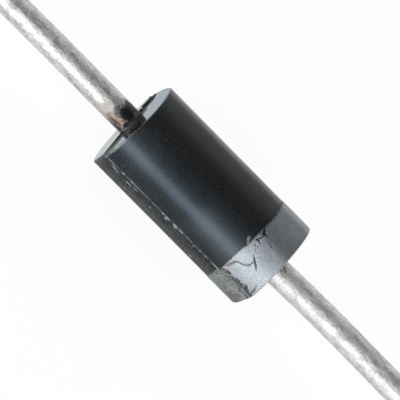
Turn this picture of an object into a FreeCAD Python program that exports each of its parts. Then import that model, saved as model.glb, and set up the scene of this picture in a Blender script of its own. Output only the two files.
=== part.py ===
import FreeCAD, Part
import math
import os

# Axial rectifier diode in a moulded epoxy package, lying on its side. All sizes are in millimetres.
# Frame: the origin is the middle of the body, on the line of the two leads. +X runs along the leads
# towards the banded cathode end, and the mould's parting plane is z = 0.

Vector = FreeCAD.Vector
AXIS = Vector(1, 0, 0)
ORIGIN = Vector(0, 0, 0)

# Moulded body
body_diameter = 2.70
body_length = 5.20          # over both end faces, at the parting plane
end_draft_deg = 3.0         # each end face leans in from the parting plane, so that the body leaves its mould
rim_radius = 0.06           # rounding between an end face and the side
mould_slip_along = 0.05     # the lower mould half sat this far towards the anode
flash_thickness = 0.02      # fin of resin squeezed out at the parting plane
flash_reach = 0.012         # how far the fin stands out of the side

# Where the runner was torn off the anode face, behind the lead: corners as (y, z), and its depth
torn_gate = [
    (0.46, 0.00), (0.54, 0.10), (0.62, 0.19), (0.72, 0.12), (0.86, 0.25), (1.02, 0.22), (1.16, 0.13),
    (1.28, 0.04), (1.27, -0.05), (1.12, -0.12), (0.96, -0.22), (0.80, -0.17), (0.66, -0.08), (0.56, -0.14),
]
torn_gate_depth = 0.028

# Printed cathode band
band_width = 1.11           # from the band's front edge to the cathode end face, at the parting plane
band_skew_deg = 1.0         # the printing roller ran this far askew, so the front edge leans back at the top
band_thickness = 0.02
band_rim_margin = 0.02      # the ink turns over the rim, but stops this far short of the end face

# Lead wires, each with a forged nail head and an upset collar that locks it in the resin
lead_diameter = 0.74
lead_free_length = 27.40    # outside the body
lead_end_chamfer = 0.04
head_diameter = 1.60
head_rim_thickness = 0.18
head_thickness = 0.30       # rim and tapered back together
neck_flare = 0.08           # widening of the wire where it joins the head's back
shank_swell = 0.02          # how much the heading dies left the buried wire swollen, as a radius
collar_diameter = 1.10
collar_length = 0.36
collar_slope = 0.10         # length of the tapered flank on each side of the collar
collar_distance = 0.86      # from the head's back to the middle of the collar

# Silicon die and what joins and seals it
die_side = 1.10
die_thickness = 0.26
die_bevel = 0.05            # etched bevel round the anode face
solder_thickness = 0.05
solder_margin = 0.02        # bare silicon left round the solder
solder_foot = 0.08          # the solder spreads this much wider on the nail head
coating_diameter = 1.96     # widest size of the silicone bead
coating_overlap = 0.12      # how far the bead climbs over the rim of each nail head

# Places where the band has worn through, as corners (distance behind the band's front edge in mm,
# degrees above the parting plane on the front side). Each is one sunken patch with ragged edges.
worn_patches = {
    "gash_beside_the_parting_line": [
        (0.03, 6.1), (0.26, 7.9), (0.42, 6.1), (0.54, 6.3), (0.69, 5.7), (0.79, 7.5),
        (0.88, 6.3), (1.06, 6.0), (1.06, 9.0), (0.87, 11.6), (0.75, 14.4), (0.64, 11.6),
        (0.53, 11.6), (0.40, 9.3), (0.34, 8.7), (0.25, 11.1), (0.15, 9.3), (0.03, 7.6),
    ],
    "chip_in_the_front_edge": [
        (-0.04, 77.5), (0.02, 76.2), (0.08, 72.6), (0.13, 70.2), (0.21, 69.9), (0.29, 69.7),
        (0.29, 69.0), (0.21, 68.3), (0.15, 67.4), (0.15, 64.6), (0.125, 60.3), (0.21, 59.4),
        (0.225, 57.4), (0.15, 58.2), (0.09, 57.6), (0.07, 58.8), (0.11, 61.0), (0.12, 64.6),
        (0.11, 67.6), (0.05, 70.6), (0.0, 74.0), (-0.04, 75.0),
    ],
    "split_behind_the_chip": [
        (0.32, 45.0), (0.425, 41.9), (0.53, 39.2), (0.645, 34.6),
        (0.635, 33.8), (0.52, 37.4), (0.41, 40.2), (0.315, 43.4),
    ],
}
patch_depth = 0.06          # how far a patch's cutter passes through the band on each side

# Worked out from the sizes above
body_radius = body_diameter / 2
half_body = body_length / 2
lead_radius = lead_diameter / 2
shank_radius = lead_radius + shank_swell
head_radius = head_diameter / 2
collar_radius = collar_diameter / 2
half_stack = die_thickness / 2 + solder_thickness
head_back = half_stack + head_thickness
lead_end = half_body + lead_free_length
end_lean = math.tan(math.radians(end_draft_deg))
band_front = half_body - band_width


def polygon_face(points):
    """A flat face with straight sides through the points."""
    return Part.Face(Part.makePolygon(points + [points[0]]))


def moulded_half(side, radius, half_length, rim=0.0):
    """Half a round bar along X, above (side 1) or below (side -1) the parting plane, with drafted ends."""
    arc = Part.Arc(Vector(0, radius, 0), Vector(0, 0, side * radius), Vector(0, -radius, 0)).toShape()
    chord = Part.makeLine(Vector(0, -radius, 0), Vector(0, radius, 0))
    bar = Part.Face(Part.Wire([arc, chord])).extrude(AXIS * (2 * half_length))
    bar.translate(AXIS * -half_length)
    height = 2 * radius
    lean = height * end_lean
    depth = Vector(0, 4 * radius, 0)
    outline = polygon_face([
        Vector(-half_length, -2 * radius, 0),
        Vector(half_length, -2 * radius, 0),
        Vector(half_length - lean, -2 * radius, side * height),
        Vector(-half_length + lean, -2 * radius, side * height),
    ])
    half = bar.common(outline.extrude(depth)).Solids[0]
    if rim:
        rims = [edge for edge in half.Edges if edge.BoundBox.ZLength > 0.9 * radius]
        half = half.makeFillet(rim, rims)
    return half


def slipped(half):
    """The lower half, moved by as much as the two mould halves were out of line."""
    half.translate(AXIS * -mould_slip_along)
    return half


def flash_fins():
    """The thin fin of resin along both sides of the body, at the parting plane."""
    length = body_length - 2 * rim_radius - mould_slip_along
    width = body_diameter + 2 * flash_reach
    fins = Part.makeBox(length, width, flash_thickness, Vector(-length, -width, -flash_thickness) / 2)
    fins.translate(AXIS * (-mould_slip_along / 2))
    return fins


def gate_cutter():
    """A prism that sinks the torn gate into the anode face, down to one level in both mould halves."""
    outline = polygon_face([Vector(-2 * half_body, y, z) for y, z in torn_gate])
    return outline.extrude(AXIS * (half_body + torn_gate_depth))


def solid_body():
    """The moulding's outer shape: two half mouldings slightly out of line, with flash and a torn gate."""
    upper = moulded_half(1, body_radius, half_body, rim_radius)
    lower = slipped(moulded_half(-1, body_radius, half_body, rim_radius))
    return upper.fuse([lower, flash_fins()]).cut(gate_cutter()).removeSplitter()


def revolved(points):
    """The solid that a closed outline of (x, radius) points sweeps out round the lead axis."""
    return polygon_face([Vector(x, 0, radius) for x, radius in points]).revolve(ORIGIN, AXIS, 360)


def nail_head_lead(direction):
    """A lead wire along X, towards the cathode (direction 1) or the anode (direction -1)."""
    collar_middle = head_back + collar_distance
    collar_start = collar_middle - collar_length / 2
    collar_end = collar_middle + collar_length / 2
    outline = [
        (half_stack, 0),
        (half_stack, head_radius),
        (half_stack + head_rim_thickness, head_radius),
        (head_back, shank_radius + neck_flare),
        (head_back + neck_flare, shank_radius),
        (collar_start, shank_radius),
        (collar_start + collar_slope, collar_radius),
        (collar_end - collar_slope, collar_radius),
        (collar_end, shank_radius),
        (half_body, lead_radius),
        (lead_end - lead_end_chamfer, lead_radius),
        (lead_end, lead_radius - lead_end_chamfer),
        (lead_end, 0),
    ]
    return revolved([(direction * x, radius) for x, radius in outline])


def silicon_die():
    """The square chip in the middle, its anode face ringed by an etched bevel."""
    corner = Vector(-die_thickness / 2, -die_side / 2, -die_side / 2)
    chip = Part.makeBox(die_thickness, die_side, die_side, corner)
    anode_edges = [edge for edge in chip.Edges if edge.BoundBox.XMax < -0.99 * die_thickness / 2]
    return chip.makeChamfer(die_bevel, anode_edges)


def solder_joint(direction):
    """The solder between the die and one nail head, wider at the head."""
    at_die = die_side / 2 - die_bevel - solder_margin
    base = AXIS * (direction * die_thickness / 2)
    return Part.makeCone(at_die, at_die + solder_foot, solder_thickness, base, AXIS * direction)


def coating_bead():
    """The outer shape of the silicone bead that wraps the die's edge and the rims of both nail heads."""
    reach = half_stack + coating_overlap
    left_foot = Vector(-reach, 0, head_radius)
    right_foot = Vector(reach, 0, head_radius)
    edges = [
        Part.Arc(left_foot, Vector(0, 0, coating_diameter / 2), right_foot).toShape(),
        Part.makeLine(right_foot, AXIS * reach),
        Part.makeLine(AXIS * reach, AXIS * -reach),
        Part.makeLine(AXIS * -reach, left_foot),
    ]
    return Part.Face(Part.Wire(edges)).revolve(ORIGIN, AXIS, 360)


def patch_cutter(corners):
    """A prism through the band wall with the outline of one worn patch."""
    middle = math.radians(sum(angle for _, angle in corners) / len(corners))
    outward = Vector(0, -math.cos(middle), math.sin(middle))
    upward = Vector(0, math.sin(middle), math.cos(middle))
    points = []
    for distance, angle in corners:
        around = body_radius * math.sin(math.radians(angle) - middle)
        points.append(AXIS * (band_front + distance) + upward * around)
    cutter = polygon_face(points).extrude(outward * (band_thickness + 2 * patch_depth))
    cutter.translate(outward * (body_radius - patch_depth))
    return cutter


def ink_layer(side):
    """The ink over one mould half: a shell that follows the side and turns over the cathode's rim."""
    layer = moulded_half(side, body_radius + band_thickness, half_body + band_thickness,
                         rim_radius + band_thickness)
    keep = Part.makeBox(half_body - band_rim_margin, 2 * body_diameter, 2 * body_diameter,
                        Vector(0, -body_diameter, -body_diameter))
    layer = layer.common(keep)
    return slipped(layer) if side < 0 else layer


def printed_band(body):
    """The ring of silver ink round the cathode end, which breaks at the flash and where it is worn."""
    keep = Part.makeBox(2 * band_width, 2 * body_diameter, 2 * body_diameter,
                        Vector(band_front, -body_diameter, -body_diameter))
    keep.rotate(AXIS * band_front, Vector(0, 1, 0), band_skew_deg)
    band = ink_layer(1).fuse(ink_layer(-1)).common(keep).cut(body)
    return band.cut([patch_cutter(corners) for corners in worn_patches.values()])


def build():
    anode_lead = nail_head_lead(-1)
    cathode_lead = nail_head_lead(1)
    die = silicon_die()
    anode_solder = solder_joint(-1)
    cathode_solder = solder_joint(1)
    bead = coating_bead()
    outside = solid_body()
    return {
        "epoxy_body": outside.cut([anode_lead, cathode_lead, bead]),
        "cathode_band": printed_band(outside),
        "anode_lead": anode_lead,
        "cathode_lead": cathode_lead,
        "silicon_die": die,
        "anode_solder": anode_solder,
        "cathode_solder": cathode_solder,
        "junction_coating": bead.cut([anode_lead, cathode_lead, die, anode_solder, cathode_solder]),
    }


os.makedirs("parts", exist_ok=True)
for name, shape in build().items():
    shape.exportStep("parts/" + name + ".step")
    box = shape.BoundBox
    print(f"{name}: {len(shape.Solids)} solid(s), {shape.Volume:.4f} mm3, valid {shape.isValid()}, "
          f"x {box.XMin:.3f} to {box.XMax:.3f}, y {box.YMin:.3f} to {box.YMax:.3f}, "
          f"z {box.ZMin:.3f} to {box.ZMax:.3f}")
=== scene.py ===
import math

import bpy
import numpy as np
from mathutils import Matrix, Vector, noise


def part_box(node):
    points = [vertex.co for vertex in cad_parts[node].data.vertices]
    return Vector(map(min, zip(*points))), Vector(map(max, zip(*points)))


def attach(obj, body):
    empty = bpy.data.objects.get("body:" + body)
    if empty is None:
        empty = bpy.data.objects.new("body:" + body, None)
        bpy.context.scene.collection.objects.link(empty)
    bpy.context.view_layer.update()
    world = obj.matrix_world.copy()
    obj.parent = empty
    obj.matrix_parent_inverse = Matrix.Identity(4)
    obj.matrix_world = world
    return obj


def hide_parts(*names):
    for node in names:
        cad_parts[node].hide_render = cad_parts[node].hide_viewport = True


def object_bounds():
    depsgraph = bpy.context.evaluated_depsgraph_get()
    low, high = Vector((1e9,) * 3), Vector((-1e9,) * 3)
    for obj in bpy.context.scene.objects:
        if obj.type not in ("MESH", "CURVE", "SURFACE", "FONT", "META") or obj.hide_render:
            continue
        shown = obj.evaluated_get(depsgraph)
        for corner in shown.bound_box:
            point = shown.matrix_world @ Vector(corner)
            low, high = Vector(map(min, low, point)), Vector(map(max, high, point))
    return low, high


# Axial rectifier diode on its side: moulded epoxy body, silver ink band and two tinned copper leads.
# Sizes in the dictionaries are millimetres and degrees; meshes are scaled to metres as they are made.
# Turn is the angle round the lead axis, seen from the anode: 0 is the front (-Y), 90 the top (+Z).

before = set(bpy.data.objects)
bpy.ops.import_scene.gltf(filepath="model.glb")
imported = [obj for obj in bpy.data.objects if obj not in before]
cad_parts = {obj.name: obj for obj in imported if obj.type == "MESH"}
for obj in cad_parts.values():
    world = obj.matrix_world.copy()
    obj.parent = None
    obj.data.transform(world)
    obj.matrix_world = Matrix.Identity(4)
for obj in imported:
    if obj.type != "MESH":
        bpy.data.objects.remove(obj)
cadLow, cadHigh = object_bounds()
mm = 0.001


def nodeEdge(name, axis, high):
    # one face of a CAD node's box, in millimetres
    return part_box(name)[1 if high else 0][axis] / mm


# helpers for node trees


def addNode(tree, kind, inputs=None, **settings):
    made = tree.nodes.new(kind)
    for name, value in settings.items():
        setattr(made, name, value)
    for key, value in (inputs or {}).items():
        socket = made.inputs[key]
        if isinstance(value, bpy.types.NodeSocket):
            tree.links.new(value, socket)
        else:
            socket.default_value = (*value, 1) if socket.type == "RGBA" else value
    return made


def treeOf(*values):
    # the node tree of the first socket among the values
    return next(value.id_data for value in values if isinstance(value, bpy.types.NodeSocket))


def calc(operation, *values):
    inputs = dict(enumerate(values))
    return addNode(treeOf(*values), "ShaderNodeMath", inputs, operation=operation).outputs[0]


def times(product, *others):
    for other in others:
        product = calc("MULTIPLY", product, other)
    return product


def largest(most, *others):
    for other in others:
        most = calc("MAXIMUM", most, other)
    return most


def without(share):
    return calc("SUBTRACT", 1.0, share)


def stirred(value, wobble, reach):
    # a value that noise moves up and down
    return calc("MULTIPLY_ADD", calc("SUBTRACT", wobble, 0.5), reach, value)


def ramp(value, low, high, first=0.0, last=1.0):
    # smooth step from first to last while value goes from low to high
    inputs = {"Value": value, "From Min": low, "From Max": high, "To Min": first, "To Max": last}
    made = addNode(value.id_data, "ShaderNodeMapRange", inputs, interpolation_type="SMOOTHSTEP")
    return made.outputs["Result"]


def mixColour(share, first, second, blend="MIX"):
    inputs = {0: share, 6: first, 7: second}
    made = addNode(treeOf(share, first), "ShaderNodeMix", inputs, data_type="RGBA", blend_type=blend)
    return made.outputs[2]


def grey(value, warmth=0.0):
    return (value * (1 + warmth), value, value * (1 - warmth))


def stretched(place, scale, slant=0.0):
    inputs = {"Vector": place, "Scale": scale, "Rotation": (0, 0, math.radians(slant))}
    return addNode(place.id_data, "ShaderNodeMapping", inputs).outputs[0]


def mixValue(share, first, second):
    inputs = {0: share, 2: first, 3: second}
    return addNode(treeOf(share, first), "ShaderNodeMix", inputs, data_type="FLOAT").outputs[0]


def noiseIn(place, scale, detail=3.0, rough=0.5, distortion=0.0):
    inputs = {"Vector": place, "Scale": scale, "Detail": detail, "Roughness": rough, "Distortion": distortion}
    return addNode(place.id_data, "ShaderNodeTexNoise", inputs).outputs["Fac"]


def bumpOn(height, distance, under=None):
    # distance is in millimetres, and under is the normal of a coarser bump
    if isinstance(distance, bpy.types.NodeSocket):
        distance = times(distance, mm)
    else:
        distance = distance * mm
    inputs = {"Height": height, "Distance": distance, "Strength": 1.0}
    if under is not None:
        inputs["Normal"] = under
    return addNode(height.id_data, "ShaderNodeBump", inputs).outputs["Normal"]


def newMaterial(name):
    made = bpy.data.materials.new(name)
    made.use_nodes = True
    shader = made.node_tree.nodes["Principled BSDF"]
    coordinates = made.node_tree.nodes.new("ShaderNodeTexCoord")
    place = stretched(coordinates.outputs["Object"], (1 / mm,) * 3)  # from here on in millimetres
    return made, shader, place


def emptyMaterial(name):
    made = bpy.data.materials.new(name)
    made.use_nodes = True
    made.node_tree.nodes.clear()
    return made, made.node_tree


def connect(shader, **sockets):
    names = {"colour": "Base Color", "rough": "Roughness", "metal": "Metallic", "normal": "Normal",
             "index": "IOR", "tint": "Specular Tint", "coat": "Coat Weight", "coatTint": "Coat Tint",
             "coatRough": "Coat Roughness"}
    for key, value in sockets.items():
        if isinstance(value, bpy.types.NodeSocket):
            shader.id_data.links.new(value, shader.inputs[names[key]])
        else:
            shader.inputs[names[key]].default_value = value


def measured(shader, name):
    # a number stored on the mesh's points
    return addNode(shader.id_data, "ShaderNodeAttribute", attribute_name=name).outputs["Fac"]


def axesOf(place):
    return addNode(place.id_data, "ShaderNodeSeparateXYZ", {0: place}).outputs


def turnOf(y, z):
    return calc("ARCTAN2", z, times(y, -1.0))


def unrolled(place, radius):
    # a place on a round surface as (x, arc from the front), in millimetres
    x, y, z = axesOf(place)
    arc = times(turnOf(y, z), radius)
    return addNode(place.id_data, "ShaderNodeCombineXYZ", {0: x, 1: arc}).outputs[0]


def oval(flat, wobble, centre, reach, slant, ragged, edge):
    # 1 inside an oval on the unrolled surface, with a ragged edge
    inputs = {"Vector": flat, "Location": (*centre, 0), "Rotation": (0, 0, math.radians(slant)),
              "Scale": (*reach, 1)}
    local = addNode(flat.id_data, "ShaderNodeMapping", inputs, vector_type="TEXTURE").outputs[0]
    length = addNode(flat.id_data, "ShaderNodeVectorMath", {0: local}, operation="LENGTH").outputs["Value"]
    return ramp(stirred(length, wobble, 2 * ragged), 1 - edge, 1 + edge, 1.0, 0.0)


def arcTo(turn, radius):
    return math.radians(turn) * radius


# helpers for meshes


def meshObject(name, points, faces, smooth=True):
    mesh = bpy.data.meshes.new(name)
    mesh.from_pydata([tuple(point) for point in np.asarray(points) * mm], [], faces)
    mesh.validate()
    mesh.polygons.foreach_set("use_smooth", [smooth] * len(mesh.polygons))
    mesh.update()
    made = bpy.data.objects.new(name, mesh)
    bpy.context.scene.collection.objects.link(made)
    return made


def storeOnPoints(made, name, values):
    stored = made.data.attributes.new(name, "FLOAT", "POINT")
    stored.data.foreach_set("value", np.ravel(values).tolist())


def closedGrid(rows, columns):
    # quads of a grid that joins up with itself in both directions
    row = np.arange(rows)[:, None]
    column = np.arange(columns)[None, :]
    start = row * columns
    nextStart = (row + 1) % rows * columns
    nextColumn = (column + 1) % columns
    corners = [start + column, start + nextColumn, nextStart + nextColumn, nextStart + column]
    return np.stack(np.broadcast_arrays(*corners), -1).reshape(-1, 4).tolist()


def evenSteps(start, stop, step):
    count = max(1, round(abs(stop - start) / step))
    return np.linspace(start, stop, count + 1)


def noiseAt(points, scale, seed=0.0):
    # smooth noise between -1 and 1 at each point
    flat = np.asarray(points, float).reshape(-1, 3) * scale + seed
    values = [noise.noise(Vector(point)) for point in flat.tolist()]
    return np.array(values).reshape(np.asarray(points).shape[:-1])


def fade(value, low, high):
    share = np.clip((value - low) / (high - low), 0, 1)
    return share * share * (3 - 2 * share)


def toStretch(u, v, start, stop):
    # distance from places (u, v) to a straight stretch, and how far along it their nearest point is
    alongU = stop[0] - start[0]
    alongV = stop[1] - start[1]
    share = ((u - start[0]) * alongU + (v - start[1]) * alongV) / (alongU ** 2 + alongV ** 2)
    share = np.clip(share, 0, 1)
    return np.hypot(u - start[0] - share * alongU, v - start[1] - share * alongV), share


def depthInside(u, v, corners):
    # how far places (u, v) lie inside a closed outline; below 0 is outside it
    nearest = np.full(np.shape(u), 9.0)
    inside = np.zeros(np.shape(u), bool)
    for start, stop in zip(corners, corners[1:] + corners[:1]):
        nearest = np.minimum(nearest, toStretch(u, v, start, stop)[0])
        if start[1] != stop[1]:
            share = (v - start[1]) / (stop[1] - start[1])
            inside ^= ((start[1] > v) != (stop[1] > v)) & (u < start[0] + share * (stop[0] - start[0]))
    return np.where(inside, nearest, -nearest)


# body

body = {
    "radius": 1.35,
    "halfLength": nodeEdge("epoxy_body", 0, True),
    "draft": math.radians(3.0),
    "rimRadius": 0.06,
    "slipAlong": -nodeEdge("epoxy_body", 0, False) - nodeEdge("epoxy_body", 0, True),
    "flashThickness": 0.02,
    "flashReach": 0.010,      # on the side
    "flashReachOnEnds": 0.004,
    "flashTip": 0.35,         # thickness left at its edge, as a share
    "step": 0.03,             # mesh size
    "faceStep": 0.035,        # mesh size on the end faces
    "leadGap": 0.002,         # between a lead and the wall of its hole
    "holeLip": 0.08,          # depth of the last straight stretch of the hole
    "wave": 0.0010,           # gentle unevenness of the smooth upper half
    "lowerGrain": 0.0022,     # roughness of the lower half
    "tornZone": 0.09,         # nothing farther than this from the anode end is torn
    # places torn out of the anode face, as corners (y, z), a depth and whether the lower half is torn too:
    # the mould gate, its far corner and a chip over the ledge
    "torn": [
        ([(0.44, 0.00), (0.42, 0.16), (0.44, 0.26), (0.56, 0.22), (0.66, 0.20), (0.75, 0.25), (0.90, 0.26),
          (1.02, 0.22), (1.16, 0.15), (1.28, 0.05), (1.36, -0.04), (1.08, -0.06), (0.95, -0.05),
          (0.90, -0.14), (0.83, -0.20), (0.74, -0.14), (0.66, -0.05), (0.555, -0.03), (0.46, -0.02)],
         0.028, True),
        ([(1.02, 0.02), (1.40, 0.02), (1.42, -0.28), (1.24, -0.20), (1.08, -0.09)], 0.0, True),
        ([(-0.34, -0.05), (-0.38, 0.13), (-0.56, 0.07), (-0.76, 0.03), (-1.02, 0.01), (-1.10, -0.05)],
         0.009, False),
    ],
    # the slip of the halves is smeared near the cathode face: how far each half moves along there
    "smear": {1: (-0.03, 9.0), -1: (0.02, 6.0)},
}

lead = {
    "radius": 0.37,
    "end": nodeEdge("cathode_lead", 0, True),
    "endChamfer": 0.04,
    "headFace": nodeEdge("cathode_lead", 0, False),
    "headRadius": 0.80,
    "headRimThickness": 0.18,
    "headThickness": 0.30,
    "shankRadius": 0.39,
    "neckFlare": 0.08,
    "collarRadius": 0.55,
    "collarMiddle": 1.34,
    "collarLength": 0.36,
    "collarSlope": 0.10,
    "coatingRadius": 0.98,
    "coatingReach": nodeEdge("junction_coating", 0, True),
}


def buriedProfile():
    # (distance from the middle, radius) stations of a lead from its head to where it leaves the resin
    backStart = lead["headFace"] + lead["headRimThickness"]
    backEnd = lead["headFace"] + lead["headThickness"]
    collarStart = lead["collarMiddle"] - lead["collarLength"] / 2
    collarEnd = lead["collarMiddle"] + lead["collarLength"] / 2
    return [
        (backStart, lead["headRadius"]),
        (backEnd, lead["shankRadius"] + lead["neckFlare"]),
        (backEnd + lead["neckFlare"], lead["shankRadius"]),
        (collarStart, lead["shankRadius"]),
        (collarStart + lead["collarSlope"], lead["collarRadius"]),
        (collarEnd - lead["collarSlope"], lead["collarRadius"]),
        (collarEnd, lead["shankRadius"]),
    ]


def endPlane(height):
    # how far from the middle a drafted end face is, at a height above or below the parting plane
    return body["halfLength"] - np.abs(height) * math.tan(body["draft"])


def mouldedPoint(turn, side, radius, end, along):
    # a point of one mould half's form. end is -1, 0 or 1: anode face, side or cathode face.
    # along is the share of the side's length, or the angle round the rim in radians
    y = -radius * np.cos(turn)
    z = side * radius * np.sin(turn)
    edge = endPlane(z) - body["rimRadius"]
    onSide = edge * along
    onEnd = end * (edge + body["rimRadius"] * np.cos(along))
    return np.stack([np.where(end == 0, onSide, onEnd), y, z], -1)


def outsideColumns():
    # (radius, end, along, flash reach) of every mesh column from the anode's lead hole to the cathode's
    hole = lead["radius"] + body["leadGap"]
    flat = body["radius"] - body["rimRadius"]
    radii = evenSteps(hole, flat, body["faceStep"])[:-1]
    columns = [(radius, -1, 0.0, body["flashReachOnEnds"]) for radius in radii]
    for angle in evenSteps(0, math.pi / 2, math.pi / 12)[:-1]:
        columns.append((flat + body["rimRadius"] * math.sin(angle), -1, angle, body["flashReachOnEnds"]))
    for share in evenSteps(-1, 1, body["step"] / body["halfLength"]):
        columns.append((body["radius"], 0, share, body["flashReach"]))
    mirrored = [(radius, 1, along, reach) for radius, end, along, reach in columns if end == -1]
    return columns + mirrored[::-1]


def cavityColumns():
    # (x, radius) of the hollow that the leads and the junction coating fill, from cathode to anode
    gap = body["leadGap"]
    buried = [(x, radius + gap) for x, radius in buriedProfile()]
    half = [(body["halfLength"] - body["holeLip"], lead["radius"] + gap)] + buried[::-1]
    half.append((lead["coatingReach"], lead["headRadius"] + gap))
    arch = []
    for share in evenSteps(-1, 1, 0.2)[1:-1]:
        rise = (lead["coatingRadius"] - lead["headRadius"]) * (1 - share * share)
        arch.append((-share * lead["coatingReach"], lead["headRadius"] + rise + gap))
    return half + arch + [(-x, radius) for x, radius in half[::-1]]


def wander(points, side):
    # radial unevenness of the moulded side
    offset = body["wave"] * (noiseAt(points, 1.3) + 0.4 * noiseAt(points, 4.0, 7.0))
    if side < 0:
        grain = noiseAt(points, 9.0, 3.0) * fade(np.abs(points[..., 2]), 0.0, 0.1)
        offset = offset + body["lowerGrain"] * grain
    return offset


def sideSurface(points, side):
    # moves points of the moulded side radially by its unevenness, and along by the slip of the lower half
    offset = wander(points, side)
    radius = np.hypot(points[..., 1], points[..., 2])
    moved = points.copy()
    moved[..., 1:] *= (1 + offset / radius)[..., None]
    if side < 0:
        moved[..., 0] -= body["slipAlong"]
    shift, reach = body["smear"][side]
    turn = np.degrees(np.arctan2(np.abs(points[..., 2]), -points[..., 1]))
    nearEnd = fade(points[..., 0], 1.7, 2.5) * fade(radius, 0.9, 1.3)
    moved[..., 0] += shift * nearEnd * (1 - fade(turn, 0.0, reach))
    return moved


def tornPlaces(points):
    # how torn the anode face is at each point, from 0 to 1, and the x that it is torn down to
    share = np.zeros(points.shape[:-1])
    level = np.full(points.shape[:-1], -body["halfLength"])
    across = points * [0, 1, 1]
    ragged = 0.015 * noiseAt(across, 9.0, 13.0) + 0.02 * noiseAt(across, 24.0, 17.0)
    uneven = 0.75 + 0.5 * noiseAt(across, 14.0, 31.0)
    onFace = points[..., 0] < -body["halfLength"] + body["tornZone"]
    for corners, depth, bothHalves in body["torn"]:
        inside = fade(depthInside(points[..., 1], points[..., 2], corners) + ragged, -0.01, 0.02) * onFace
        if not bothHalves:
            inside = inside * (points[..., 2] > 0)
        level = np.maximum(level, -body["halfLength"] + depth * uneven * (inside > 0))
        share = np.maximum(share, inside)
    return share, level


def buildBody():
    columns = outsideColumns()
    radius, end, along, reach = np.array(columns).T
    cavity = np.array(cavityColumns())
    edge = math.asin(body["flashThickness"] / 2 / body["radius"])
    turns = evenSteps(edge, math.pi - edge, body["step"] / body["radius"])

    def outsideRow(turn, side, squeeze=0.0):
        points = sideSurface(mouldedPoint(np.full(len(columns), turn), side, radius, end, along), side)
        torn, level = tornPlaces(points)
        points[:, 0] += torn * np.maximum(level - points[:, 0], 0)
        if squeeze:
            ragged = 0.75 + 0.5 * noiseAt(points * [1, 0, 0] + [0, turn, 0], 5.0, 11.0)
            ragged = ragged + 0.35 * noiseAt(points, 16.0, 2.0)
            out = reach * squeeze * np.clip(ragged, 0.1, 1.15)
            lean = np.where(end == 0, math.pi / 2, along)
            points[:, 0] += end * out * np.cos(lean)
            points[:, 1] += -math.copysign(1, math.cos(turn)) * out * np.sin(lean)
        return points

    def cavityRow(turn, side):
        x, wall = cavity.T
        return np.stack([x, -wall * math.cos(turn), side * wall * math.sin(turn)], -1)

    tip = body["flashTip"] * edge
    stations = [(turn, 1, 0.0) for turn in turns]
    stations += [(math.pi - tip, 1, 1.0), (math.pi - tip, -1, 1.0)]
    stations += [(turn, -1, 0.0) for turn in turns[::-1]]
    stations += [(tip, -1, 1.0), (tip, 1, 1.0)]
    rows = [np.vstack([outsideRow(*station), cavityRow(*station[:2])]) for station in stations]
    made = meshObject("moulded_body", np.vstack(rows), closedGrid(len(rows), len(rows[0])))
    marks = [np.concatenate([tornPlaces(row[:len(columns)])[0], np.zeros(len(cavity))]) for row in rows]
    storeOnPoints(made, "torn", marks)
    return made


# pale marks on the side, along and under the parting line: (x, turn, half length, half width, how pale)
scrapes = [
    (-2.4, 0.6, 0.07, 0.0154, 0.45), (-2.28, -0.8, 0.04, 0.033, 0.4), (-1.94, 0.8, 0.045, 0.022, 0.8),
    (-1.64, 0.8, 0.04, 0.022, 0.9), (-1.45, 0.7, 0.3, 0.0143, 0.4), (-0.83, 0.7, 0.06, 0.0154, 0.4),
    (-0.51, 0.7, 0.045, 0.022, 0.7), (-0.34, 0.5, 0.075, 0.0286, 1), (-0.37, -2.4, 0.045, 0.033, 0.55),
    (-2.2, -3.5, 0.08, 0.0264, 0.75), (-2.08, -4.7, 0.06, 0.0198, 0.6), (-1.66, -5.4, 0.1, 0.0198, 0.85),
    (-1.42, -3.9, 0.07, 0.0242, 0.5), (-0.83, -8.4, 0.03, 0.0242, 0.4), (-1.06, -25.2, 0.03, 0.033, 0.35),
    (-1.59, -19.5, 0.04, 0.0385, 0.3), (-0.08, 0.5, 0.06, 0.0308, 1), (-0.04, -2.3, 0.05, 0.033, 0.5),
    (0.135, 0.7, 0.075, 0.0198, 0.75), (0.385, 0.8, 0.03, 0.0198, 0.4), (0.5, 0.6, 0.04, 0.0176, 0.4),
    (0.83, 0.7, 0.04, 0.0176, 0.45), (1.03, 0.6, 0.06, 0.0176, 0.45), (1.335, 0.7, 0.11, 0.0176, 0.6),
    (1.45, 0.8, 0.05, 0.022, 0.8), (0.63, -1.9, 0.03, 0.0385, 0.35), (0.55, -6, 0.05, 0.0176, 0.3),
    (0.82, -23.1, 0.04, 0.033, 0.6),
]


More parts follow.
